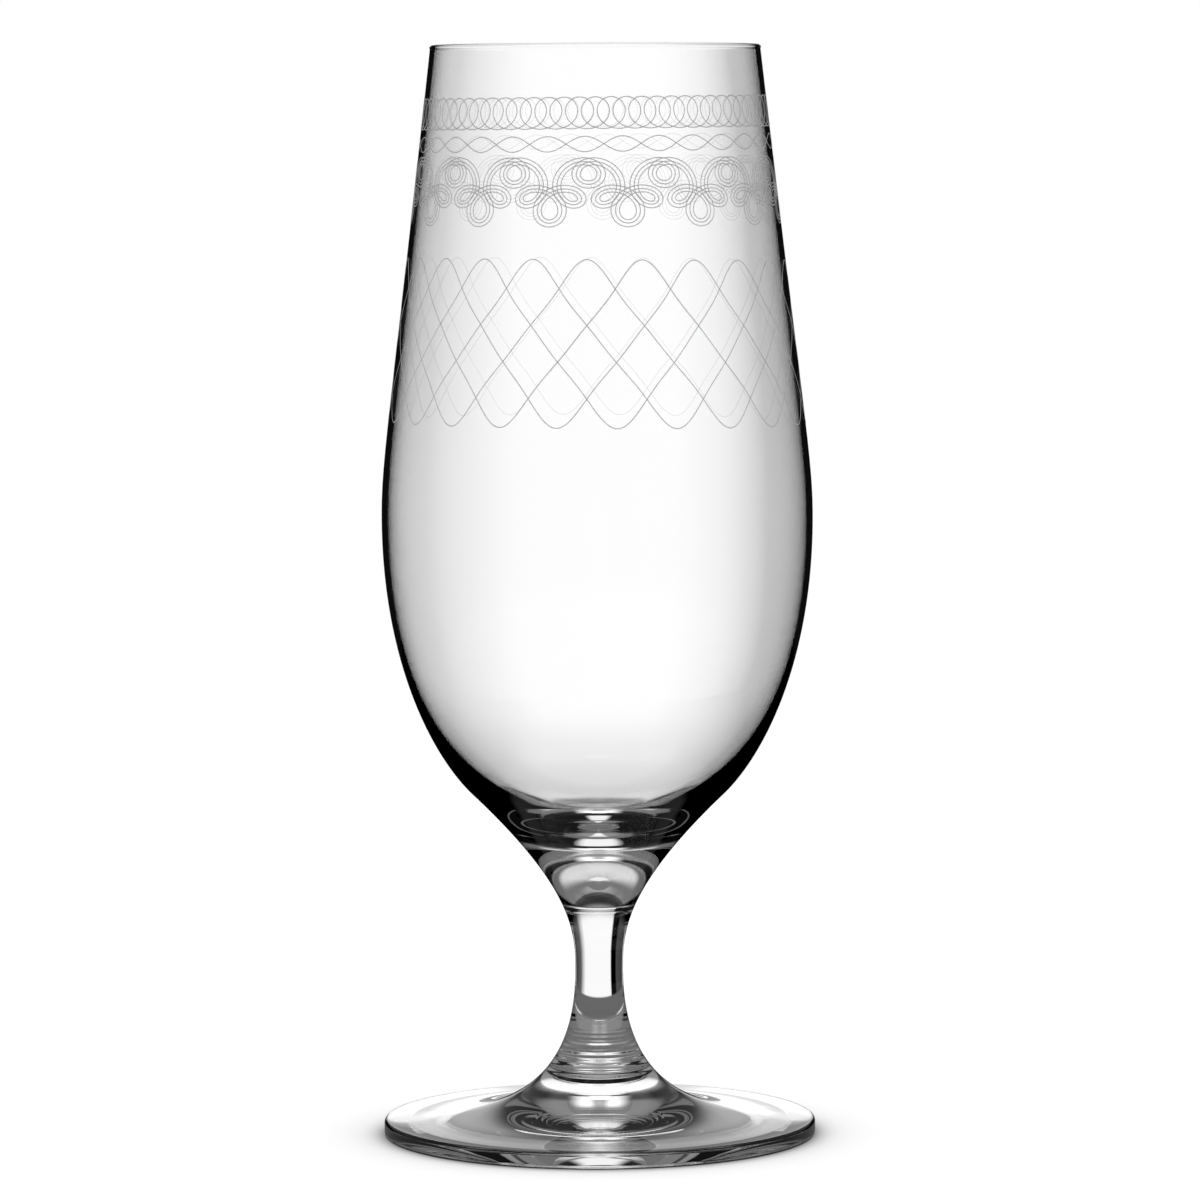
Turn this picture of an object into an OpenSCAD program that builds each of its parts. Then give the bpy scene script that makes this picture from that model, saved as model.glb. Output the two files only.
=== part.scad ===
// Footed pilsner glass: a tall tulip bowl on a short waisted stem and a round foot.
// Millimetres, +Z up. The glass stands on z = 0 with its axis on the origin.

/* [Bowl] */
// Height of the rim above the table
glass_h = 190; // [175:1:205]
// Outer radius at the rim
rim_r = 28.6; // [26:0.1:31]
// Lean of the wall at the rim, in degrees from upright
rim_lean = 6.5; // [4:0.5:8]
// Outer radius at the widest point
belly_r = 37.5; // [36:0.25:40]
// Height of the widest point
belly_z = 108.2; // [102:0.1:114]
// Outer radius where the bowl turns into the throat
shoulder_r = 22.1; // [20.5:0.1:24]
// Height of that turn
shoulder_z = 59.9; // [58:0.1:62]
// Lean of the wall at that turn, in degrees from upright
shoulder_lean = 46.1; // [44:0.1:48]
// Thickness of the wall at the rim
rim_wall = 0.85; // [0.7:0.05:0.95]
// Radius of the fire-polished bead along the lip
bead_r = 0.5; // [0.5:0.05:0.8]
// Thickness of the wall at the widest point
belly_wall = 1.05; // [0.8:0.05:2]
// Height of the lowest point inside the bowl
hollow_z = 54.5; // [52:0.5:58]

/* [Stem] */
// Radius of the waist
waist_r = 4.2; // [3.6:0.1:5]
// Height of the waist
waist_z = 28.6; // [25:0.1:31]

/* [Foot] */
// Radius of the foot
foot_r = 37.75; // [34:0.25:42]
// Thickness of the foot's edge
edge_h = 2.7; // [2:0.1:4]
// Fall of the foot's upper face at its edge, in degrees
edge_fall = 3.2; // [1:0.1:7]
// Width of the flat ring that the foot stands on
rest_w = 4; // [2:0.5:8]
// Rise of the underside from that ring to the axis
underside_rise = 1.2; // [0.5:0.1:2]

/* [Hidden] */
glass_colour = [0.93, 0.95, 0.96, 0.4];
$fn = 128;

// Straight steps along each profile curve and along each small round
curve_steps = 24;
round_steps = 8;

// Reach of each curve's two tangents, as a share of the curve's own height or width
side_pull = [0.78, 0.13];
belly_pull = [0.53, 0.19];
throat_pull = [0.79, 0.21];
flare_pull = [0.95, 0.30];
hollow_pull = [0.60, 0.65];

// Rounds of the foot's edge, above and below, as shares of the edge's height
top_share = 0.25;
low_share = 0.2;

// Where the three gathers are fused, as a share of the throat curve and of the flare curve
bowl_split = 0.5;
foot_split = 0.25;

// Cubic curve through its first and last point, drawn by the two between
function at(p, t) =
    pow(1 - t, 3) * p[0]
    + 3 * t * pow(1 - t, 2) * p[1]
    + 3 * t * t * (1 - t) * p[2]
    + pow(t, 3) * p[3];
function run(p, from, to) = [for (i = [0:curve_steps]) at(p, from + (to - from) * i / curve_steps)];
function tail(list) = [for (i = [1:len(list) - 1]) list[i]];
function round_edge(centre, radius, from, to) =
    [for (i = [0:round_steps])
        let (a = from + (to - from) * i / round_steps)
        centre + radius * [cos(a), sin(a)]];

// Bead of the lip: the wall runs into it where it is as wide as the wall
bead_turn = acos(rim_wall / 2 / bead_r);
bead_centre = [rim_r - rim_wall / 2, glass_h - bead_r];
wall_top = bead_centre[1] - bead_r * sin(bead_turn);

// Side of the bowl from the lip down to the widest point, set in by the wall for its inner face
side_h = wall_top - belly_z;
function side(inset_top, inset_low) = [
    [rim_r - inset_top, wall_top],
    [rim_r - inset_top, wall_top] + side_pull[0] * side_h * [sin(rim_lean), -cos(rim_lean)],
    [belly_r - inset_low, belly_z + side_pull[1] * side_h],
    [belly_r - inset_low, belly_z]];

// From the widest point to the shoulder, and on through the throat to the waist
shoulder = [shoulder_r, shoulder_z];
shoulder_way = [sin(shoulder_lean), cos(shoulder_lean)];
belly_h = belly_z - shoulder_z;
belly = [
    [belly_r, belly_z],
    [belly_r, belly_z - belly_pull[0] * belly_h],
    shoulder + belly_pull[1] * belly_h * shoulder_way,
    shoulder];
throat_h = shoulder_z - waist_z;
throat = [
    shoulder,
    shoulder - throat_pull[0] * throat_h * shoulder_way,
    [waist_r, waist_z + throat_pull[1] * throat_h],
    [waist_r, waist_z]];

// Inside of the bowl, from the widest point to the axis
hollow_r = belly_r - belly_wall;
hollow = [
    [hollow_r, belly_z],
    [hollow_r, belly_z - hollow_pull[0] * (belly_z - hollow_z)],
    [hollow_pull[1] * hollow_r, hollow_z],
    [0, hollow_z]];

// Edge of the foot: an upright band between two small rounds
top_round = top_share * edge_h;
low_round = low_share * edge_h;
top_centre = [foot_r - top_round, edge_h - top_round];
low_centre = [foot_r - low_round, low_round];

// Flare of the stem from its waist into the upper face of the foot
flare_end = top_centre + top_round * [sin(edge_fall), cos(edge_fall)];
flare_w = flare_end[0] - waist_r;
flare = [
    [waist_r, waist_z],
    [waist_r, waist_z - flare_pull[0] * waist_z],
    flare_end + flare_pull[1] * flare_w * [-cos(edge_fall), sin(edge_fall)],
    flare_end];

// Underside of the foot, a shallow dome inside the flat ring
dome_r = low_centre[0] - rest_w;
function dome(share) = [dome_r * (1 - share), underside_rise * (1 - pow(1 - share, 2))];

bowl_joint = at(throat, bowl_split);
foot_joint = at(flare, foot_split);

module turned(profile) {
    color(glass_colour)
        rotate_extrude()
            polygon(profile);
}

// Blown bowl with a fire-polished lip and a thick bottom
module bowl() {
    turned(concat(
        [[0, hollow_z], [0, bowl_joint[1]]],
        run(throat, bowl_split, 0),
        tail(run(belly, 1, 0)),
        tail(run(side(0, 0), 1, 0)),
        tail(round_edge(bead_centre, bead_r, -bead_turn, 180 + bead_turn)),
        tail(run(side(rim_wall, belly_wall), 0, 1)),
        [for (i = [1:curve_steps - 1]) at(hollow, i / curve_steps)]));
}

// Solid drawn stem with its waist
module stem() {
    turned(concat(
        [[0, bowl_joint[1]], [0, foot_joint[1]]],
        run(flare, foot_split, 0),
        tail(run(throat, 1, bowl_split))));
}

// Round foot with an upright edge and a flat ring to stand on
module foot() {
    turned(concat(
        [[0, foot_joint[1]]],
        [for (i = [0:round_steps]) dome(1 - i / round_steps)],
        round_edge(low_centre, low_round, -90, 0),
        round_edge(top_centre, top_round, 0, 90 - edge_fall),
        tail(run(flare, 1, foot_split))));
}

bowl();
stem();
foot();
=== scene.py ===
"""Footed pilsner glass: a blown tulip bowl with etched bands, a drawn stem and a pressed foot."""
import math

import bpy
import numpy as np
from bpy.props import FloatProperty, FloatVectorProperty, IntProperty, PointerProperty
from mathutils import Matrix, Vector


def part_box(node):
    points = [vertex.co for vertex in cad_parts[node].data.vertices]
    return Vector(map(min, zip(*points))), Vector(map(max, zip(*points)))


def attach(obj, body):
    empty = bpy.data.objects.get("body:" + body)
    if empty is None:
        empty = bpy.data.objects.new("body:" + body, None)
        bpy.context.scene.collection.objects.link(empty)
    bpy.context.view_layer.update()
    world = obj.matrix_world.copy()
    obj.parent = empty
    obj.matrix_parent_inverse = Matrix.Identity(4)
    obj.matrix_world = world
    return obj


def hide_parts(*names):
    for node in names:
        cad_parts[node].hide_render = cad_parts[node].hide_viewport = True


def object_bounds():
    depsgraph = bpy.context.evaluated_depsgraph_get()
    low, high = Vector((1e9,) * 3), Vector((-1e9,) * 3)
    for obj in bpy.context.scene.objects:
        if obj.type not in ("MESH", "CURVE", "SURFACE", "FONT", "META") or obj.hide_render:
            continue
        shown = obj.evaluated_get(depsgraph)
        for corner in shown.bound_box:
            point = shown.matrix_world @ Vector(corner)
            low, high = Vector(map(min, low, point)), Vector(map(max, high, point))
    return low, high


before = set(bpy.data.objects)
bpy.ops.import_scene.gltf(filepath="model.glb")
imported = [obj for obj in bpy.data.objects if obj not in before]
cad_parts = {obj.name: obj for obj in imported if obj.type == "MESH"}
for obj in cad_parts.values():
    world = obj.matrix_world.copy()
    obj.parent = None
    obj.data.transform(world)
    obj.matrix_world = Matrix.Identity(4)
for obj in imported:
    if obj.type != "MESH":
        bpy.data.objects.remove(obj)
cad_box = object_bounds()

bl_info = {
    "name": "Footed Pilsner Glass",
    "version": (1, 0, 0),
    "blender": (4, 5, 0),
    "location": "3D View > Sidebar > Pilsner",
    "description": "Builds a clear pilsner glass with four etched bands, in a white studio",
    "category": "Add Mesh",
}

# Reach of each profile curve's two tangents, as a share of the curve's own height or width
SIDE_PULL = (0.78, 0.13)
BELLY_PULL = (0.53, 0.19)
THROAT_PULL = (0.79, 0.21)
FLARE_PULL = (0.95, 0.30)
HOLLOW_PULL = (0.60, 0.65)

# Where the three gathers are fused, as a share of the throat curve and of the flare curve
BOWL_SPLIT = 0.5
FOOT_SPLIT = 0.25

# Rounds of the foot's edge, above and below, as shares of the edge's height
TOP_SHARE = 0.25
LOW_SHARE = 0.2

# Fineness of the turned surfaces
SEGMENTS = 256
CURVE_STEPS = 64
ROUND_STEPS = 16

# Distance of the extra point that keeps the bend between the foot's flat ring and its dome crisp
CRISP = 0.0001


def length(name, description, default):
    """A length in metres that a user may change."""
    return FloatProperty(name=name, description=description, default=default, min=0.0,
                         precision=5, subtype="DISTANCE", unit="LENGTH")


def angle(name, description, degrees):
    """An angle that a user may change, given in degrees and kept in radians."""
    return FloatProperty(name=name, description=description, default=math.radians(degrees),
                         subtype="ANGLE", unit="ROTATION")


def count(name, description, default):
    """A whole number that a user may change."""
    return IntProperty(name=name, description=description, default=default, min=1)


def colour(name, description, default):
    """A linear colour that a user may change."""
    return FloatVectorProperty(name=name, description=description, default=default, size=3,
                               min=0.0, max=1.0, subtype="COLOR")


class BowlSizes(bpy.types.PropertyGroup):
    """Sizes of the blown bowl."""
    height: length("Height", "Height of the rim above the table", cad_box[1].z)
    rim_radius: length("Rim radius", "Outer radius at the rim", 0.0286)
    rim_lean: angle("Rim lean", "Lean of the wall at the rim from upright", 6.5)
    belly_radius: length("Belly radius", "Outer radius at the widest point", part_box("bowl")[1].x)
    belly_height: length("Belly height", "Height of the widest point", 0.1082)
    shoulder_radius: length("Shoulder radius", "Outer radius at the turn into the throat", 0.0221)
    shoulder_height: length("Shoulder height", "Height of the turn into the throat", 0.0599)
    shoulder_lean: angle("Shoulder lean", "Lean of the wall at that turn from upright", 46.1)
    rim_wall: length("Rim wall", "Thickness of the wall at the rim", 0.00085)
    bead_radius: length("Bead radius", "Radius of the fire-polished bead along the lip", 0.0005)
    belly_wall: length("Belly wall", "Thickness of the wall at the widest point", 0.00105)
    hollow_height: length("Hollow height", "Height of the lowest point inside the bowl", 0.0545)


class StemSizes(bpy.types.PropertyGroup):
    """Sizes of the drawn stem."""
    waist_radius: length("Waist radius", "Radius of the waist", 0.0042)
    waist_height: length("Waist height", "Height of the waist", 0.0286)


class FootSizes(bpy.types.PropertyGroup):
    """Sizes of the pressed foot."""
    radius: length("Radius", "Radius of the foot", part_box("foot")[1].x)
    edge_height: length("Edge height", "Thickness of the foot's edge", 0.0027)
    edge_fall: angle("Edge fall", "Fall of the upper face at its edge", 3.2)
    rest_width: length("Rest width", "Width of the flat ring that the foot stands on", 0.004)
    rise: length("Rise", "Rise of the underside from that ring to the axis", 0.0012)


class EtchSizes(bpy.types.PropertyGroup):
    """Sizes of the four etched bands."""
    line_width: length("Line width", "Width of an etched line", 0.00018)
    line_depth: length("Line depth", "Depth of the frosted line", 0.00003)
    coil_loops: count("Coil loops", "Loops of the coil round the glass", 70)
    coil_height: length("Coil height", "Height of the middle of the coil", 0.17826)
    coil_half: length("Coil half height", "Half the height of the coil", 0.00267)
    coil_swing: angle("Coil swing", "Swing of each loop to either side", 5.8)
    coil_lean: angle("Coil lean", "How far the coil and the twist rise to the right", 0.45)
    twist_waves: count("Twist waves", "Waves of each strand of the twist", 15)
    twist_height: length("Twist height", "Height of the middle of the twist", 0.17304)
    twist_half: length("Twist half height", "Half the height of the twist", 0.00129)
    scroll_repeats: count("Scroll repeats", "Scallops of the scroll round the glass", 15)
    scroll_height: length("Scroll height", "Height of the middle of the scroll", 0.16536)
    scroll_rise: length("Scroll rise", "Rise of the scroll from its drops to its eyes, halved", 0.00325)
    scroll_width: length("Scroll width", "Half the width of the outer strand's loops", 0.00364)
    scroll_loop: length("Scroll loop", "Half the height of the outer strand's loops", 0.00299)
    lattice_waves: count("Lattice waves", "Waves of the lattice strand in all its turns", 22)
    lattice_turns: count("Lattice turns", "Turns of the lattice strand round the glass", 5)
    lattice_height: length("Lattice height", "Height of the middle of the lattice", 0.1388)
    lattice_half: length("Lattice half height", "Half the height of the lattice", 0.01416)
    lattice_lean: angle("Lattice lean", "How far the lattice rises to the right", -0.55)
    lattice_nod: angle("Lattice nod", "How far the lattice rises to the front", 1.2)
    lattice_drift: angle("Lattice drift", "How far the lattice's feed runs ahead at the back", 4.2)


class FinishColours(bpy.types.PropertyGroup):
    """Colours of the glass, the etched line and the floor."""
    glass: colour("Glass", "Tint of the clear glass", (0.99, 0.99, 0.99))
    etch: colour("Etched line", "Colour of the frosted line", (0.42, 0.42, 0.425))
    floor: colour("Floor", "Colour of the floor", (0.86, 0.86, 0.86))


class StudioSizes(bpy.types.PropertyGroup):
    """Camera and floor of the studio."""
    camera_distance: length("Camera distance", "From the axis of the glass to the camera", 1.05)
    camera_height: length("Camera height", "Height of the camera above the floor", 0.1803)
    camera_pitch: angle("Camera pitch", "How far the camera looks down", 4.722)
    camera_yaw: angle("Camera yaw", "How far the camera looks to the right", 0.0232)
    camera_roll: angle("Camera roll", "How far the camera leans to the right", 0.25)
    floor_radius: length("Floor radius", "Radius of the round floor", 0.5)


def bezier(points, first=0.0, last=1.0, crowd=1):
    """Cubic curve: four points weighted by the cubic Bernstein polynomials of t, from first to last.

    A crowd above 1 brings the steps of t closer together at the first end, as that power of their share.
    """
    t = first + (last - first) * np.linspace(0, 1, CURVE_STEPS + 1)[:, None] ** crowd
    start, leave, arrive, end = (np.asarray(point) for point in points)
    rest = 1 - t
    return rest ** 3 * start + 3 * t * rest ** 2 * leave + 3 * t ** 2 * rest * arrive + t ** 3 * end


def arc(centre, radius, first, last):
    """Round edge: the centre plus the radius times (cosine, sine) of an angle from first to last."""
    a = np.radians(np.linspace(first, last, ROUND_STEPS + 1))
    return np.asarray(centre) + radius * np.stack([np.cos(a), np.sin(a)], axis=1)


def lip_bead(bowl):
    """Centre of the bead along the lip, and how far below level it meets the wall, in degrees."""
    centre = np.array([bowl.rim_radius - bowl.rim_wall / 2, bowl.height - bowl.bead_radius])
    return centre, math.degrees(math.acos(bowl.rim_wall / 2 / bowl.bead_radius))


def side_curve(bowl, inset_top=0.0, inset_low=0.0):
    """Wall from the lip down to the widest point, set in by the wall's thickness for the inner face."""
    centre, turn = lip_bead(bowl)
    wall_top = centre[1] - bowl.bead_radius * math.sin(math.radians(turn))
    fall = wall_top - bowl.belly_height
    top = np.array([bowl.rim_radius - inset_top, wall_top])
    low = np.array([bowl.belly_radius - inset_low, bowl.belly_height])
    lean = np.array([math.sin(bowl.rim_lean), -math.cos(bowl.rim_lean)])
    leave = top + SIDE_PULL[0] * fall * lean
    arrive = low + np.array([0.0, SIDE_PULL[1] * fall])
    return top, leave, arrive, low


def shoulder_point(bowl):
    """The turn into the throat, and the upward way of the wall there."""
    point = np.array([bowl.shoulder_radius, bowl.shoulder_height])
    return point, np.array([math.sin(bowl.shoulder_lean), math.cos(bowl.shoulder_lean)])


def belly_curve(bowl):
    """Outer face from the widest point down to the shoulder."""
    shoulder, way = shoulder_point(bowl)
    widest = np.array([bowl.belly_radius, bowl.belly_height])
    fall = bowl.belly_height - bowl.shoulder_height
    leave = widest - np.array([0.0, BELLY_PULL[0] * fall])
    arrive = shoulder + BELLY_PULL[1] * fall * way
    return widest, leave, arrive, shoulder


def throat_curve(bowl, stem):
    """Outer face from the shoulder down to the waist of the stem."""
    shoulder, way = shoulder_point(bowl)
    waist = np.array([stem.waist_radius, stem.waist_height])
    fall = bowl.shoulder_height - stem.waist_height
    leave = shoulder - THROAT_PULL[0] * fall * way
    arrive = waist + np.array([0.0, THROAT_PULL[1] * fall])
    return shoulder, leave, arrive, waist


def hollow_curve(bowl):
    """Inner face from the widest point down to the axis."""
    radius = bowl.belly_radius - bowl.belly_wall
    widest = np.array([radius, bowl.belly_height])
    fall = bowl.belly_height - bowl.hollow_height
    bottom = np.array([0.0, bowl.hollow_height])
    leave = widest - np.array([0.0, HOLLOW_PULL[0] * fall])
    arrive = bottom + np.array([HOLLOW_PULL[1] * radius, 0.0])
    return widest, leave, arrive, bottom


def edge_rounds(foot):
    """Radius and centre of the foot's upper edge round, then of its lower one."""
    top = TOP_SHARE * foot.edge_height
    low = LOW_SHARE * foot.edge_height
    top_centre = np.array([foot.radius - top, foot.edge_height - top])
    low_centre = np.array([foot.radius - low, low])
    return top, top_centre, low, low_centre


def flare_curve(stem, foot):
    """Outer face from the waist of the stem down into the upper face of the foot."""
    top_round, top_centre, _, _ = edge_rounds(foot)
    waist = np.array([stem.waist_radius, stem.waist_height])
    fall = foot.edge_fall
    end = top_centre + top_round * np.array([math.sin(fall), math.cos(fall)])
    inward = (end[0] - stem.waist_radius) * np.array([-math.cos(fall), math.sin(fall)])
    leave = waist - np.array([0.0, FLARE_PULL[0] * stem.waist_height])
    arrive = end + FLARE_PULL[1] * inward
    return waist, leave, arrive, end


def on_axis(point):
    """The point of the axis at the same height."""
    return np.array([[0.0, point[1]]])


def joined(*runs):
    """Runs of profile points end to end, without the points that two runs share."""
    return np.concatenate([runs[0]] + [run[1:] for run in runs[1:]])


def bowl_profile(bowl, stem):
    """Closed half section: up the inside, over the round lip, down the outside, in along the joint."""
    bead_centre, bead_turn = lip_bead(bowl)
    wall = joined(
        bezier(hollow_curve(bowl), 1, 0),
        bezier(side_curve(bowl, bowl.rim_wall, bowl.belly_wall), crowd=2)[::-1],
        arc(bead_centre, bowl.bead_radius, 180 + bead_turn, -bead_turn),
        bezier(side_curve(bowl), crowd=2),
        bezier(belly_curve(bowl)),
        bezier(throat_curve(bowl, stem), 0, BOWL_SPLIT))
    return np.concatenate([wall, on_axis(wall[-1])])


def stem_profile(bowl, stem, foot):
    """Closed half section: out along the upper joint, down throat and flare, in along the lower joint."""
    wall = joined(
        bezier(throat_curve(bowl, stem), BOWL_SPLIT, 1),
        bezier(flare_curve(stem, foot), 0, FOOT_SPLIT))
    return np.concatenate([on_axis(wall[0]), wall, on_axis(wall[-1])])


def foot_profile(stem, foot):
    """Closed half section: out along the joint, down the flare, round the edge, in along ring and dome.

    The dome inside the flat ring rises by rise times one less the squared share of its radius.
    """
    top_round, top_centre, low_round, low_centre = edge_rounds(foot)
    dome_radius = low_centre[0] - foot.rest_width
    out = np.linspace(1, 0, CURVE_STEPS + 1)
    dome = np.stack([dome_radius * out, foot.rise * (1 - out ** 2)], axis=1)
    ring = np.array([[dome_radius + CRISP, 0.0]])
    wall = joined(
        bezier(flare_curve(stem, foot), FOOT_SPLIT, 1),
        arc(top_centre, top_round, 90 - math.degrees(foot.edge_fall), 0))
    return np.concatenate([on_axis(wall[0]), wall, arc(low_centre, low_round, 0, -90), ring, dome])


def new_mesh(name, points, quads, triangles):
    """Mesh from whole arrays: the points, then the corners of all four- and three-sided faces."""
    mesh = bpy.data.meshes.new(name)
    mesh.vertices.add(len(points))
    mesh.vertices.foreach_set("co", points.ravel())
    corners = np.concatenate([quads.ravel(), triangles.ravel()])
    sides = np.repeat([4, 3], [len(quads), len(triangles)])
    mesh.loops.add(len(corners))
    mesh.loops.foreach_set("vertex_index", corners)
    mesh.polygons.add(len(sides))
    mesh.polygons.foreach_set("loop_start", np.concatenate([[0], np.cumsum(sides)[:-1]]))
    mesh.polygons.foreach_set("use_smooth", np.ones(len(sides), dtype=bool))
    mesh.update(calc_edges=True)
    return mesh


def new_piece(name, mesh, *materials):
    """Object at the origin that shows the mesh in the given materials."""
    piece = bpy.data.objects.new(name, mesh)
    bpy.context.scene.collection.objects.link(piece)
    for material in materials:
        mesh.materials.append(material)
    return piece


def turned(name, profile):
    """Turned surface: a profile point (r, z) goes to (r cos a, r sin a, z), with both ends on the axis."""
    a = np.linspace(0, 2 * math.pi, SEGMENTS, endpoint=False)
    radius = profile[1:-1, 0, None]
    height = np.broadcast_to(profile[1:-1, 1, None], (len(profile) - 2, SEGMENTS))
    rings = np.stack([radius * np.cos(a), radius * np.sin(a), height], axis=-1).reshape(-1, 3)
    first = np.array([[0.0, 0.0, profile[0, 1]]])
    last = np.array([[0.0, 0.0, profile[-1, 1]]])
    points = np.concatenate([first, rings, last])
    here = 1 + np.arange(len(rings)).reshape(-1, SEGMENTS)
    beside = np.roll(here, -1, axis=1)
    quads = np.stack([here[:-1], here[1:], beside[1:], beside[:-1]], axis=-1).reshape(-1, 4)
    pole = np.zeros(SEGMENTS, dtype=int)
    first_fan = np.stack([pole, here[0], beside[0]], axis=-1)
    last_fan = np.stack([here[-1], pole + len(points) - 1, beside[-1]], axis=-1)
    return new_mesh(name, points, quads, np.concatenate([first_fan, last_fan]))


def face_joint(mesh, at_first, at_last):
    """Gives the flat fan at either end of a turned profile the second material, with a crisp edge."""
    fans = np.zeros(len(mesh.polygons), dtype=bool)
    if at_first:
        fans[-2 * SEGMENTS:-SEGMENTS] = True
    if at_last:
        fans[-SEGMENTS:] = True
    mesh.polygons.foreach_set("material_index", fans.astype(np.int32))
    mesh.polygons.foreach_set("use_smooth", ~fans)
    mesh.update()


# Section of an etched ridge as shares of its width and depth, from one foot over its top to the other
RIDGE_ACROSS = (-0.5, -0.35, 0.35, 0.5)
RIDGE_UP = (0.0, 1.0, 1.0, 0.0)
# The last side of the section is the one that lies on the bowl
RIDGE_UNDER = (0, 0, 0, 1)

# Gap in metres between the ridge and the bowl's face, and how much and how often the ridge swells
RIDGE_CLEARANCE = 0.000006
RIDGE_SWELL = 0.2
RIDGE_SWELLS = 7

# Where each band starts round the glass, in degrees to the right of its front
COIL_START = 2.55
TWIST_START = 2.6
SCROLL_START = -2.2
LATTICE_START = 5.5

# The scroll's three strands, as shares of the outer strand's loops, and its loops in each repeat
SCROLL_STRANDS = (1.0, 0.79, 0.6)
SCROLL_LOOPS = 4

# Shares of the third and fifth harmonics that straighten the lattice's wave between its turns
LATTICE_STRAIGHTEN = (0.111, 0.03)

# Path points for each loop, wave or repeat
COIL_POINTS = 48
TWIST_POINTS = 40
SCROLL_POINTS = 160
LATTICE_POINTS = 160


def wall_at(bowl, height):
    """Outer radius of the bowl's side at each height, and how fast it grows with height."""
    wall = bezier(side_curve(bowl), 1, 0)
    slope = np.gradient(wall[:, 0], wall[:, 1])
    return np.interp(height, wall[:, 1], wall[:, 0]), np.interp(height, wall[:, 1], slope)


def etched(name, bowl, etch, turn, height):
    """Etched strands: a low flat-topped ridge carried along closed paths on the bowl's outer face.

    Row by row, turn and height give each strand's path as an angle round the glass and a height.
    The ridge swells a little along the path, so that no two crossing strands lie at one level.
    """
    radius, slope = wall_at(bowl, height)
    centre = np.stack([radius * np.sin(turn), -radius * np.cos(turn), height], axis=-1)
    outward = np.stack([np.sin(turn), -np.cos(turn), -slope], axis=-1)
    outward /= np.linalg.norm(outward, axis=-1, keepdims=True)
    along = np.roll(centre, -1, axis=1) - np.roll(centre, 1, axis=1)
    across = np.cross(along, outward)
    across /= np.linalg.norm(across, axis=-1, keepdims=True)
    sideways = np.array(RIDGE_ACROSS) * etch.line_width
    swell = 1 + RIDGE_SWELL * np.sin(np.linspace(0, 2 * math.pi * RIDGE_SWELLS, turn.shape[1]))
    lift = RIDGE_CLEARANCE + np.array(RIDGE_UP) * etch.line_depth * swell[:, None]
    points = (centre[:, :, None] + across[:, :, None] * sideways[:, None]
              + outward[:, :, None] * lift[None, :, :, None])
    here = np.arange(points.size // 3).reshape(points.shape[:3])
    ahead = np.roll(here, -1, axis=1)
    quads = np.stack([here, np.roll(here, -1, axis=2), np.roll(ahead, -1, axis=2), ahead], axis=-1)
    mesh = new_mesh(name, points.reshape(-1, 3), quads.reshape(-1, 4), np.zeros((0, 3), dtype=int))
    under = np.broadcast_to(np.array(RIDGE_UNDER), here.shape)
    mesh.polygons.foreach_set("material_index", under.ravel().astype(np.int32))
    mesh.update()
    return mesh


def sweep(cycles, points):
    """One row of evenly spaced phases: the given cycles, each of the given points, without the last."""
    return np.linspace(0, 2 * math.pi * cycles, cycles * points, endpoint=False)[None, :]


def leaning(bowl, turn, height, lean, nod=0.0):
    """Heights of a band fed askew: raised by the radius times the turn's sine and cosine times a slope."""
    radius, _ = wall_at(bowl, height)
    return height + radius * (np.sin(turn) * math.tan(lean) + np.cos(turn) * math.tan(nod))


def coil_path(bowl, etch):
    """Coil: the angle is t over the loops plus swing times sin t, the height falls by half times cos t."""
    t = sweep(etch.coil_loops, COIL_POINTS)
    turn = math.radians(COIL_START) + t / etch.coil_loops + etch.coil_swing * np.sin(t)
    return turn, leaning(bowl, turn, etch.coil_height - etch.coil_half * np.cos(t), etch.coil_lean)


def twist_path(bowl, etch):
    """Twist: two strands whose heights are plus and minus half times the sine of the waves' phase."""
    t = sweep(etch.twist_waves, TWIST_POINTS)
    turn = np.tile(math.radians(TWIST_START) + t / etch.twist_waves, (2, 1))
    wave = etch.twist_half * np.sin(t)
    height = etch.twist_height + np.concatenate([wave, -wave])
    return turn, leaning(bowl, turn, height, etch.coil_lean)


def scroll_path(bowl, etch):
    """Scroll: a point goes four times round an oval in each repeat, while the oval's centre waves once.

    The angle is t over the repeats less the oval's width times sin 4t over the radius; the height is
    the rise times cos t less the oval's height times cos 4t. Three ovals give the three strands.
    """
    t = sweep(etch.scroll_repeats, SCROLL_POINTS)
    size = np.array(SCROLL_STRANDS)[:, None]
    radius, _ = wall_at(bowl, etch.scroll_height)
    turn = t / etch.scroll_repeats - size * etch.scroll_width / radius * np.sin(SCROLL_LOOPS * t)
    rise = etch.scroll_rise * np.cos(t) - size * etch.scroll_loop * np.cos(SCROLL_LOOPS * t)
    return math.radians(SCROLL_START) + turn, etch.scroll_height + rise


def lattice_path(bowl, etch):
    """Lattice: one strand waves up and down over several turns, so that it crosses itself in diamonds.

    Its height falls by half times the cosine of the phase, straightened by a little of its third and
    fifth harmonics. The feed runs ahead by the drift times one less the cosine of the turn, halved.
    """
    t = sweep(etch.lattice_waves, LATTICE_POINTS)
    turn = math.radians(LATTICE_START) + t * etch.lattice_turns / etch.lattice_waves
    turn = turn + etch.lattice_drift * (1 - np.cos(turn)) / 2
    third, fifth = LATTICE_STRAIGHTEN
    wave = (np.cos(t) + third * np.cos(3 * t) + fifth * np.cos(5 * t)) / (1 + third + fifth)
    height = etch.lattice_height - etch.lattice_half * wave
    return turn, leaning(bowl, turn, height, etch.lattice_lean, etch.lattice_nod)


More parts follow.
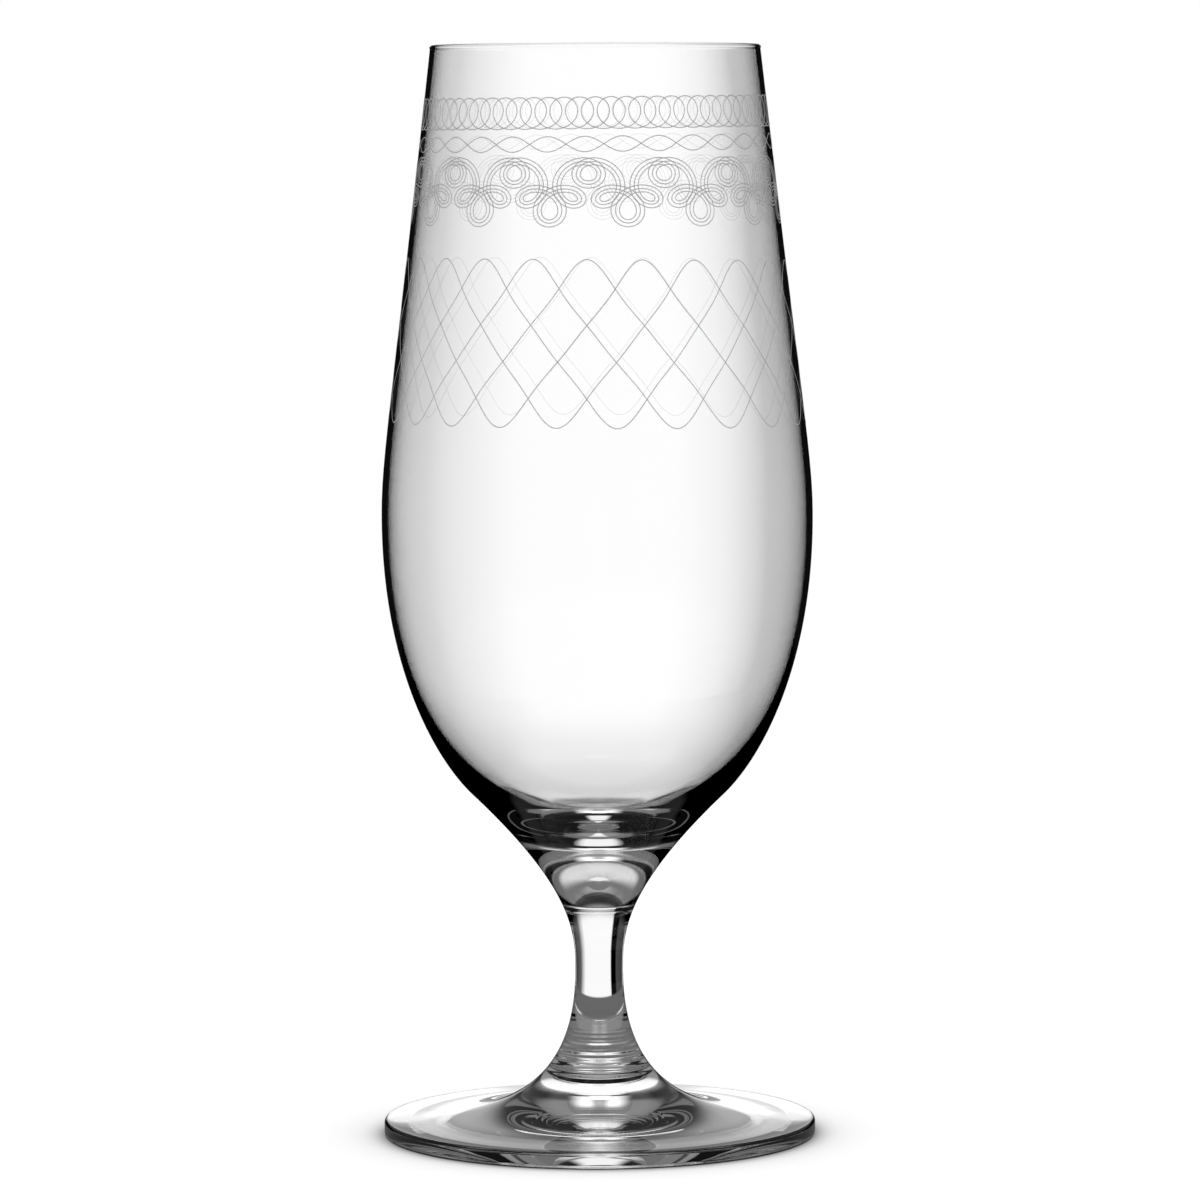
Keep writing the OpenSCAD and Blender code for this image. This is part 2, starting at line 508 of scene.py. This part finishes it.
def add_node(tree, kind, settings=(), **inputs):
    """New shader node with its settings; each input is a value or another node's output."""
    node = tree.nodes.new(kind)
    for key, value in dict(settings).items():
        setattr(node, key, value)
    for key, value in inputs.items():
        socket = node.inputs[int(key[1:])] if key[1:].isdigit() else node.inputs[key.replace("_", " ")]
        if isinstance(value, bpy.types.NodeSocket):
            tree.links.new(value, socket)
        else:
            socket.default_value = value
    return node


def maths(tree, operation, first, second=0.0):
    """Output of a Math node."""
    return add_node(tree, "ShaderNodeMath", {"operation": operation}, i0=first, i1=second).outputs[0]


def ramp(tree, value, low, high, at_low=0.0, at_high=1.0):
    """Smooth step of a value from at_low at low to at_high at high."""
    return add_node(tree, "ShaderNodeMapRange", {"interpolation_type": "SMOOTHSTEP"},
                    Value=value, From_Min=low, From_Max=high, To_Min=at_low, To_Max=at_high).outputs[0]


def mixed(tree, factor, first, second):
    """Number between two numbers."""
    mix = add_node(tree, "ShaderNodeMix", {"data_type": "FLOAT"}, i0=factor, i2=first, i3=second)
    return mix.outputs[0]


def new_material(name):
    """Empty node material and its node tree."""
    material = bpy.data.materials.new(name)
    material.use_nodes = True
    material.node_tree.nodes.clear()
    return material, material.node_tree


# Rings that the tool leaves where the stem is fused to the foot: the heights where they begin, are full,
# start to fade and end, then their pitch and their depth
RING_REACH = (0.0105, 0.012, 0.0155, 0.0165)
RING_PITCH = 0.0011
RING_DEPTH = 0.00004


def tool_rings(tree, place):
    """Height of the rings: the sine of the height over their pitch, fading out above and below."""
    _, _, z = add_node(tree, "ShaderNodeSeparateXYZ", Vector=place).outputs
    wave = maths(tree, "SINE", maths(tree, "MULTIPLY", z, 2 * math.pi / RING_PITCH))
    start, full, last, end = RING_REACH
    reach = maths(tree, "MULTIPLY", ramp(tree, z, start, full), ramp(tree, z, last, end, 1.0, 0.0))
    return maths(tree, "MULTIPLY", maths(tree, "MULTIPLY", wave, reach), RING_DEPTH)


# How strongly the glass bends light, and the waves that hot working leaves on each piece: the scale of
# their noise, its depth in metres, and its squeeze along each axis
GLASS_IOR = 1.52
BOWL_WAVES = (60.0, 0.00001, (1.0, 1.0, 0.5))
STEM_WAVES = (90.0, 0.00001, (1.0, 1.0, 2.0))
FOOT_WAVES = (70.0, 0.00002, (1.0, 1.0, 1.0))


def crystal(name, finish, waves):
    """Clear glass that keeps the faint waves of hot working and the tool's rings, as a fine bump."""
    scale, depth, squeeze = waves
    material, tree = new_material(name)
    place = add_node(tree, "ShaderNodeTexCoord").outputs["Object"]
    squeezed = add_node(tree, "ShaderNodeMapping", Vector=place, Scale=squeeze).outputs[0]
    noise = add_node(tree, "ShaderNodeTexNoise", Vector=squeezed, Scale=scale, Detail=2.0).outputs[0]
    relief = maths(tree, "ADD", maths(tree, "MULTIPLY", noise, depth), tool_rings(tree, place))
    bump = add_node(tree, "ShaderNodeBump", Strength=1.0, Distance=1.0, Height=relief)
    glass = add_node(tree, "ShaderNodeBsdfPrincipled", Base_Color=(*finish.glass, 1.0), Roughness=0.0,
                     IOR=GLASS_IOR, Transmission_Weight=1.0, Normal=bump.outputs[0])
    add_node(tree, "ShaderNodeOutputMaterial", Surface=glass.outputs[0])
    return material


def fused_face():
    """Face inside the glass where two gathers are fused: nothing of it shows."""
    material, tree = new_material("fused_face")
    clear = add_node(tree, "ShaderNodeBsdfPrincipled", Alpha=0.0)
    add_node(tree, "ShaderNodeOutputMaterial", Surface=clear.outputs[0])
    return material


# How solid the frosted line looks from outside the bowl and from inside it
FROST_FRONT = 0.85
FROST_BACK = 0.15

# Its grain: the scale of the noise, the share of the line's tone where the noise is low, and the roughness
# as a smooth step of the noise
GRAIN_SCALE = 9000.0
GRAIN_DULL = 0.8
GRAIN_ROUGH = (0.3, 0.7, 0.55, 0.8)


def etched_line(finish):
    """Frosted line: grey and matt, grainy as the acid leaves it, and partly clear."""
    material, tree = new_material("etched_line")
    place = add_node(tree, "ShaderNodeTexCoord").outputs["Object"]
    grain = add_node(tree, "ShaderNodeTexNoise", Vector=place, Scale=GRAIN_SCALE, Detail=3.0).outputs[0]
    pale = (*finish.etch, 1.0)
    dull = (*(GRAIN_DULL * part for part in finish.etch), 1.0)
    tone = add_node(tree, "ShaderNodeMix", {"data_type": "RGBA"}, i0=grain, i6=dull, i7=pale).outputs[2]
    rough = ramp(tree, grain, *GRAIN_ROUGH)
    behind = add_node(tree, "ShaderNodeNewGeometry").outputs["Backfacing"]
    frost = add_node(tree, "ShaderNodeBsdfPrincipled", Base_Color=tone, Roughness=rough,
                     Alpha=mixed(tree, behind, FROST_FRONT, FROST_BACK))
    add_node(tree, "ShaderNodeOutputMaterial", Surface=frost.outputs[0])
    return material


def finish_piece(piece, node=None):
    """Puts a piece on the glass's only body, and in place of its CAD node."""
    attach(piece, "root")
    if node:
        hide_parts(node)


class PILSNER_OT_blow_bowl(bpy.types.Operator):
    """Blow the tulip bowl with its round lip and thick bottom"""
    bl_idname = "pilsner.blow_bowl"
    bl_label = "Blow bowl"

    def execute(self, context):
        scene = context.scene
        mesh = turned("blown_bowl", bowl_profile(scene.pilsner_bowl, scene.pilsner_stem))
        glass = crystal("blown_glass", scene.pilsner_finish, BOWL_WAVES)
        piece = new_piece("blown_bowl", mesh, glass, fused_face())
        face_joint(mesh, False, True)
        finish_piece(piece, "bowl")
        return {"FINISHED"}


class PILSNER_OT_draw_stem(bpy.types.Operator):
    """Draw the solid stem down to its waist"""
    bl_idname = "pilsner.draw_stem"
    bl_label = "Draw stem"

    def execute(self, context):
        scene = context.scene
        profile = stem_profile(scene.pilsner_bowl, scene.pilsner_stem, scene.pilsner_foot)
        mesh = turned("drawn_stem", profile)
        glass = crystal("drawn_glass", scene.pilsner_finish, STEM_WAVES)
        piece = new_piece("drawn_stem", mesh, glass, fused_face())
        face_joint(mesh, True, True)
        finish_piece(piece, "stem")
        return {"FINISHED"}


class PILSNER_OT_press_foot(bpy.types.Operator):
    """Press the round foot with its rounded edge and hollow underside"""
    bl_idname = "pilsner.press_foot"
    bl_label = "Press foot"

    def execute(self, context):
        scene = context.scene
        mesh = turned("pressed_foot", foot_profile(scene.pilsner_stem, scene.pilsner_foot))
        glass = crystal("pressed_glass", scene.pilsner_finish, FOOT_WAVES)
        piece = new_piece("pressed_foot", mesh, glass, fused_face())
        face_joint(mesh, True, False)
        finish_piece(piece, "foot")
        return {"FINISHED"}


class PILSNER_OT_etch_bands(bpy.types.Operator):
    """Etch the coil, the twist, the scroll and the lattice into the bowl's outer face"""
    bl_idname = "pilsner.etch_bands"
    bl_label = "Etch bands"

    def execute(self, context):
        bowl, etch = context.scene.pilsner_bowl, context.scene.pilsner_etch
        frost, under = etched_line(context.scene.pilsner_finish), fused_face()
        bands = {
            "etched_coil_band": coil_path(bowl, etch),
            "etched_twist_band": twist_path(bowl, etch),
            "etched_scroll_band": scroll_path(bowl, etch),
            "etched_lattice_band": lattice_path(bowl, etch),
        }
        for name, (turn, height) in bands.items():
            piece = new_piece(name, etched(name, bowl, etch, turn, height), frost, under)
            finish_piece(piece)
        return {"FINISHED"}


# Light of the studio on matt surfaces, and the least light in the room that the glass reflects
PLAIN_LEVEL = 1.0
DARK_LEVEL = 0.004

# Backdrop through the hollow bowl: pale panels all round, with tones by the degrees from a panel's middle
PANEL_COUNT = 8
PANEL_FIELDS = ((-22.5, 0.92), (-12, 1.0), (-7, 0.97), (-4, 0.9), (-2.2, 1.06), (-1.2, 1.19),
                (1.2, 1.2), (2.2, 1.09), (4, 0.74), (7, 0.8), (12, 0.86), (22.5, 0.92))

# Painted glow of the floor, seen only through the hollow bowl: the same tones by the distance aside, as
# degrees for each metre, less some for each metre out. They grow brighter with distance, from a plain tone
# under the foot, and between two panels they blend, from this share of the way
PANEL_GLOW_SCALE = (78.0, 23.0)
PANEL_GLOW_TONE = (0.05, 0.5, 0.7, 1.0)
PANEL_GLOW_START = (0.045, 0.055)
PANEL_GLOW_UNDER = 0.26
PANEL_GLOW_SEAM = 0.7

# Room in the glass's reflections, with each edge from its full to its dark side in degrees: a narrow
# screen of light behind the glass with a sill below it, a glow to either side of its middle, pale upper
# walls, and a lamp box overhead
SCREEN_SIDES = (6.0, 9.0)
SCREEN_FOOT = (2.6, 1.8)
SCREEN_TOP = (9.0, 12.0)
SCREEN_LEVEL = 1.3
SILL_SIDES = (3.0, 5.0)
SILL_FOOT = (0.5, -0.5)
GLOW_SIDES = (6.0, 14.0)
GLOW_MIDDLE = (1.0, 5.0)
GLOW_DIM = 0.3
GLOW_TOP = (19.0, 29.0)
GLOW_LEVEL = 1.1
WALL_EDGE = (16.0, 9.0)
WALL_LEVEL = 0.18
LAMP_SIDES = (60.0, 100.0)
LAMP_EDGE = (55.0, 42.0)
LAMP_LEVEL = 0.75

# Painted glow of the floor, seen only through solid glass: tones by the degrees round the glass under the
# foot, then plain grey, then other tones by the degrees farther out. The distances say where one gives way
# to the next
UNDER_FIELDS = ((-180, 1.1), (-172, 0.3), (-125, 0.3), (-100, 0.5), (-80, 1.0), (-65, 1.15),
                (-35, 1.15), (-25, 0.2), (25, 0.2), (35, 1.15), (65, 1.15), (80, 0.9),
                (100, 0.4), (125, 0.25), (172, 0.3), (180, 1.1))
UNDER_FOOT = (0.042, 0.048)
NEAR_TONE = 0.14
NEAR_FLOOR = (0.084, 0.09)
FAR_FRONT = ((-33, 0.07), (-32, 0.0), (-20.5, 0.0), (-19.5, 1.05), (24, 1.05), (37, 0.12))
FAR_SIDE = ((64, 0.05), (70, 1.0), (108, 1.0), (113, 0.05), (118, 1.0),
            (152, 1.0), (157, 0.05), (162, 1.0), (180, 1.0))
FAR_FIELDS = (*((-turn, tone) for turn, tone in reversed(FAR_SIDE)), *FAR_FRONT, *FAR_SIDE)

# The walls of the room carry the far tones on, up to an angle above level
FAR_TOP = (15.0, 32.0)

# The thin wall seen over the rim shows plain white: on the room's walls below an angle, and on the floor
# where the ray's length squared exceeds the distance squared by this, as it does for a ray from high up
OPEN_WALL = (-5.0, -4.0)
OPEN_FLOOR = (0.003, 0.0045)

# Painted glow of the floor, seen only in the glass's reflections: a painted highlight in a bright streak
# under the foot and beyond it, by the degrees round the glass, each with the distances where it begins and
# ends, and a dim tone where there is none
NEAR_SHINE = ((-60, 0.12), (-25, 0.25), (-7, 0.3), (-4, 1.1), (4, 1.1), (7, 0.3), (25, 0.25), (60, 0.12))
NEAR_REACH = ((0.014, 0.017), (0.036, 0.041))
DIM_SHINE = 0.15
FAR_SHINE = ((-10, 0.0), (-8, 0.0), (-5, 1.0), (5, 1.0), (8, 0.0), (10, 0.0))
FAR_REACH = ((0.05, 0.06), (0.2, 0.3))

# Reach and strength of the soft shadow where the foot meets the floor
SHADOW_REACH = 0.012
SHADOW_DEPTH = 1.4

# The floor lies a hair below the foot and is lifted to white for the camera
FLOOR_LIFT = 0.24
FLOOR_DROP = 0.0001


# Depths above which a ray counts as reflected by glass, and as gone through one wall into a second
REFLECTED_ABOVE = 0.5
CROSSED_ABOVE = 2.5


def ray_kinds(tree):
    """Four marks of a ray: from the camera, last met glass, reflected by glass, gone into a second wall."""
    path = add_node(tree, "ShaderNodeLightPath").outputs
    met_glass = maths(tree, "MAXIMUM", path["Is Glossy Ray"], path["Is Transmission Ray"])
    reflected = maths(tree, "GREATER_THAN", path["Glossy Depth"], REFLECTED_ABOVE)
    hollow = maths(tree, "GREATER_THAN", path["Transmission Depth"], CROSSED_ABOVE)
    return path["Is Camera Ray"], met_glass, reflected, hollow


def fields(tree, turn, stops, times=1):
    """Tone by an angle times a number: straight ramps between stops of an angle in degrees and a tone."""
    share = add_node(tree, "ShaderNodeMapRange", Value=turn, From_Min=-math.pi, From_Max=math.pi)
    scale = add_node(tree, "ShaderNodeValToRGB", Fac=share.outputs[0])
    marks = scale.color_ramp.elements
    for degrees, _ in stops[1:-1]:
        marks.new(0.5 + times * degrees / 360)
    for mark, (degrees, tone) in zip(marks, stops):
        mark.position = 0.5 + times * degrees / 360
        mark.color = (tone, tone, tone, 1.0)
    return scale.outputs[0]


def from_panel(tree, turn):
    """Angle from the nearest panel's middle times the number of panels, within half a turn either way."""
    many = maths(tree, "MULTIPLY", turn, PANEL_COUNT)
    return maths(tree, "ARCTAN2", maths(tree, "SINE", many), maths(tree, "COSINE", many))


def backdrop(tree, turn):
    """Tone of the panels behind the glass by the angle round it."""
    return fields(tree, from_panel(tree, turn), PANEL_FIELDS, PANEL_COUNT)


def floor_panel_glow(tree, turn, away):
    """Painted glow of the floor through the hollow bowl: the panels' tones by the distance aside, dimmer
    close by.

    The distance aside is the distance out times the sine of the angle from the panel's middle.
    """
    off = from_panel(tree, turn)
    aside = maths(tree, "MULTIPLY", away, maths(tree, "SINE", maths(tree, "DIVIDE", off, PANEL_COUNT)))
    first, less = (PANEL_COUNT * math.radians(part) for part in PANEL_GLOW_SCALE)
    scale = maths(tree, "SUBTRACT", first, maths(tree, "MULTIPLY", away, less))
    tone = fields(tree, maths(tree, "MULTIPLY", aside, scale), PANEL_FIELDS, PANEL_COUNT)
    seam = ramp(tree, maths(tree, "ABSOLUTE", off), PANEL_GLOW_SEAM * math.pi, math.pi)
    tone = mixed(tree, seam, tone, PANEL_FIELDS[0][1])
    tone = maths(tree, "MULTIPLY", tone, ramp(tree, away, *PANEL_GLOW_TONE))
    return mixed(tree, ramp(tree, away, *PANEL_GLOW_START), PANEL_GLOW_UNDER, tone)


def fade(tree, value, edge, level=1.0):
    """Level on the full side of an edge, given in degrees, and nothing on its other side."""
    full, dark = (math.radians(part) for part in edge)
    if full < dark:
        return ramp(tree, value, full, dark, level, 0.0)
    return ramp(tree, value, dark, full, 0.0, level)


def patch(tree, first, first_edge, second, second_edge, level=1.0):
    """Light of one patch of the room, between an edge round the glass and an edge of height."""
    return maths(tree, "MULTIPLY", fade(tree, first, first_edge, level), fade(tree, second, second_edge))


def dark_room(tree, turn, rise):
    """Light of the room in reflections, by the angle round the glass and the angle above level."""
    aside = maths(tree, "ABSOLUTE", turn)
    screen = patch(tree, aside, SCREEN_SIDES, rise, SCREEN_TOP, SCREEN_LEVEL)
    glow = patch(tree, aside, GLOW_SIDES, rise, GLOW_TOP, GLOW_LEVEL)
    inner, outer = (math.radians(part) for part in GLOW_MIDDLE)
    glow = maths(tree, "MULTIPLY", glow, ramp(tree, aside, inner, outer, GLOW_DIM, 1.0))
    sill = patch(tree, aside, SILL_SIDES, rise, SILL_FOOT)
    foot = maths(tree, "MAXIMUM", fade(tree, rise, SCREEN_FOOT), sill)
    low = maths(tree, "MULTIPLY", maths(tree, "MAXIMUM", screen, glow), foot)
    wall = fade(tree, rise, WALL_EDGE, WALL_LEVEL)
    lamp = patch(tree, aside, LAMP_SIDES, rise, LAMP_EDGE, LAMP_LEVEL)
    high = maths(tree, "ADD", maths(tree, "ADD", wall, lamp), DARK_LEVEL)
    return maths(tree, "ADD", low, high)


def light_world(scene):
    """White to the camera, backdrop and fields through the glass, and a dark room in its reflections."""
    world = bpy.data.worlds.new("studio")
    world.use_nodes = True
    tree = world.node_tree
    tree.nodes.clear()
    way = add_node(tree, "ShaderNodeTexCoord").outputs["Generated"]
    x, y, z = add_node(tree, "ShaderNodeSeparateXYZ", Vector=way).outputs
    turn = maths(tree, "ARCTAN2", x, y)
    rise = maths(tree, "ARCSINE", z)
    to_camera, met_glass, reflected, hollow = ray_kinds(tree)
    solid = maths(tree, "MULTIPLY", fields(tree, turn, FAR_FIELDS), fade(tree, rise, FAR_TOP))
    solid = mixed(tree, fade(tree, rise, OPEN_WALL), solid, 1.0)
    through = mixed(tree, hollow, solid, backdrop(tree, turn))
    in_glass = mixed(tree, reflected, through, dark_room(tree, turn, rise))
    level = mixed(tree, met_glass, PLAIN_LEVEL, in_glass)
    level = mixed(tree, to_camera, level, 1.0)
    light = add_node(tree, "ShaderNodeBackground", Color=(1.0, 1.0, 1.0, 1.0), Strength=level)
    add_node(tree, "ShaderNodeOutputWorld", Surface=light.outputs[0])
    scene.world = world


def floor_through(tree, turn, away, hollow):
    """Painted glow of the floor for rays through the glass: fields through solid glass, the panel glow
    through the bowl.
    """
    near = mixed(tree, ramp(tree, away, *UNDER_FOOT), fields(tree, turn, UNDER_FIELDS), NEAR_TONE)
    solid = mixed(tree, ramp(tree, away, *NEAR_FLOOR), near, fields(tree, turn, FAR_FIELDS))
    through = mixed(tree, hollow, solid, floor_panel_glow(tree, turn, away))
    ray = add_node(tree, "ShaderNodeLightPath").outputs["Ray Length"]
    drop = maths(tree, "SUBTRACT", maths(tree, "MULTIPLY", ray, ray), maths(tree, "MULTIPLY", away, away))
    return mixed(tree, ramp(tree, drop, *OPEN_FLOOR), through, 1.0)


def floor_mirrored(tree, turn, away):
    """Painted glow of the floor in reflections: the near streak, and the far one from its own distance on.
    """
    lit_from, lit_to = NEAR_REACH
    streak = maths(tree, "MULTIPLY", ramp(tree, away, *lit_from), ramp(tree, away, *lit_to, 1.0, 0.0))
    near = mixed(tree, streak, DIM_SHINE, fields(tree, turn, NEAR_SHINE))
    far_from, far_to = FAR_REACH
    far = maths(tree, "MULTIPLY", fields(tree, turn, FAR_SHINE), ramp(tree, away, *far_to, 1.0, 0.0))
    return mixed(tree, ramp(tree, away, *far_from), near, far)


def pale_floor(finish):
    """Pale floor: its colour darkened by a painted contact shadow, lifted to white for the camera, and a
    painted glow for the glass.
    """
    material, tree = new_material("pale_floor")
    place = add_node(tree, "ShaderNodeTexCoord").outputs["Object"]
    x, y, _ = add_node(tree, "ShaderNodeSeparateXYZ", Vector=place).outputs
    turn = maths(tree, "ARCTAN2", x, y)
    away = add_node(tree, "ShaderNodeVectorMath", {"operation": "LENGTH"}, i0=place).outputs["Value"]
    to_camera, met_glass, reflected, hollow = ray_kinds(tree)
    through = floor_through(tree, turn, away, hollow)
    seen = mixed(tree, reflected, through, floor_mirrored(tree, turn, away))
    # Painted contact shadow: an ambient occlusion node darkens the floor's colour and its lift near the
    # foot
    open_sky = add_node(tree, "ShaderNodeAmbientOcclusion", Distance=SHADOW_REACH).outputs["AO"]
    lit = maths(tree, "POWER", open_sky, SHADOW_DEPTH)
    own = maths(tree, "MULTIPLY", lit, maths(tree, "SUBTRACT", 1.0, met_glass))
    shade = add_node(tree, "ShaderNodeMix", {"data_type": "RGBA"}, i0=own, i6=(0.0, 0.0, 0.0, 1.0),
                     i7=(*finish.floor, 1.0)).outputs[2]
    paint = add_node(tree, "ShaderNodeBsdfDiffuse", Color=shade)
    lift = maths(tree, "MULTIPLY", maths(tree, "MULTIPLY", to_camera, lit), FLOOR_LIFT)
    # The floor glows only for rays that last met the glass: painted light that gives the glass its tones
    # and highlights
    light = add_node(tree, "ShaderNodeEmission", Strength=mixed(tree, met_glass, lift, seen))
    both = add_node(tree, "ShaderNodeAddShader", i0=paint.outputs[0], i1=light.outputs[0])
    add_node(tree, "ShaderNodeOutputMaterial", Surface=both.outputs[0])
    return material


def lay_floor(scene):
    """Round flat floor just under the glass: one ring of points round a middle point."""
    a = np.linspace(0, 2 * math.pi, SEGMENTS, endpoint=False)
    ring = scene.pilsner_studio.floor_radius * np.stack([np.cos(a), np.sin(a), 0 * a], axis=1)
    points = np.concatenate([np.zeros((1, 3)), ring]) - np.array([0.0, 0.0, FLOOR_DROP])
    here = np.arange(1, SEGMENTS + 1)
    fan = np.stack([0 * here, here, np.roll(here, -1)], axis=1)
    floor = new_piece("floor", new_mesh("floor", points, np.zeros((0, 4), dtype=int), fan),
                      pale_floor(scene.pilsner_finish))


# Camera: width of its sensor and its focal length, in millimetres
SENSOR = 36.0
FOCAL_LENGTH = 181.42


def set_camera(scene):
    """Camera in front of the glass: a long lens, a little lower than the rim, looking slightly down."""
    studio = scene.pilsner_studio
    data = bpy.data.cameras.new("camera")
    data.sensor_width = SENSOR
    data.lens = FOCAL_LENGTH
    camera = bpy.data.objects.new("camera", data)
    scene.collection.objects.link(camera)
    look = (Matrix.Rotation(-studio.camera_yaw, 4, "Z")
            @ Matrix.Rotation(math.pi / 2 - studio.camera_pitch, 4, "X")
            @ Matrix.Rotation(-studio.camera_roll, 4, "Z"))
    camera.matrix_world = Matrix.Translation((0.0, -studio.camera_distance, studio.camera_height)) @ look
    scene.camera = camera


class PILSNER_OT_set_stage(bpy.types.Operator):
    """Set the white studio: floor, light and camera"""
    bl_idname = "pilsner.set_stage"
    bl_label = "Set stage"

    def execute(self, context):
        scene = context.scene
        scene.view_settings.view_transform = "Standard"
        light_world(scene)
        lay_floor(scene)
        set_camera(scene)
        return {"FINISHED"}


STEPS = (
    PILSNER_OT_blow_bowl,
    PILSNER_OT_draw_stem,
    PILSNER_OT_press_foot,
    PILSNER_OT_etch_bands,
    PILSNER_OT_set_stage,
)

GROUPS = {
    "pilsner_bowl": BowlSizes,
    "pilsner_stem": StemSizes,
    "pilsner_foot": FootSizes,
    "pilsner_etch": EtchSizes,
    "pilsner_finish": FinishColours,
    "pilsner_studio": StudioSizes,
}


class PILSNER_PT_glass(bpy.types.Panel):
    """Sizes and making steps of the pilsner glass"""
    bl_idname = "PILSNER_PT_glass"
    bl_label = "Pilsner Glass"
    bl_space_type = "VIEW_3D"
    bl_region_type = "UI"
    bl_category = "Pilsner"

    def draw(self, context):
        for step in STEPS:
            self.layout.operator(step.bl_idname)
        for name, group in GROUPS.items():
            column = self.layout.column(align=True)
            column.label(text=group.__doc__)
            for key in group.__annotations__:
                column.prop(getattr(context.scene, name), key)


def register():
    """Registers the classes and puts the sizes on the scene."""
    for group in GROUPS.values():
        bpy.utils.register_class(group)
    for made in (*STEPS, PILSNER_PT_glass):
        bpy.utils.register_class(made)
    for name, group in GROUPS.items():
        setattr(bpy.types.Scene, name, PointerProperty(type=group))


def unregister():
    """Takes the sizes off the scene and the classes away."""
    for name in GROUPS:
        delattr(bpy.types.Scene, name)
    for made in (PILSNER_PT_glass, *STEPS, *GROUPS.values()):
        bpy.utils.unregister_class(made)


def main():
    """Makes the glass and its stage."""
    register()
    bpy.ops.pilsner.blow_bowl()
    bpy.ops.pilsner.draw_stem()
    bpy.ops.pilsner.press_foot()
    bpy.ops.pilsner.etch_bands()
    bpy.ops.pilsner.set_stage()


if __name__ == "__main__":
    main()
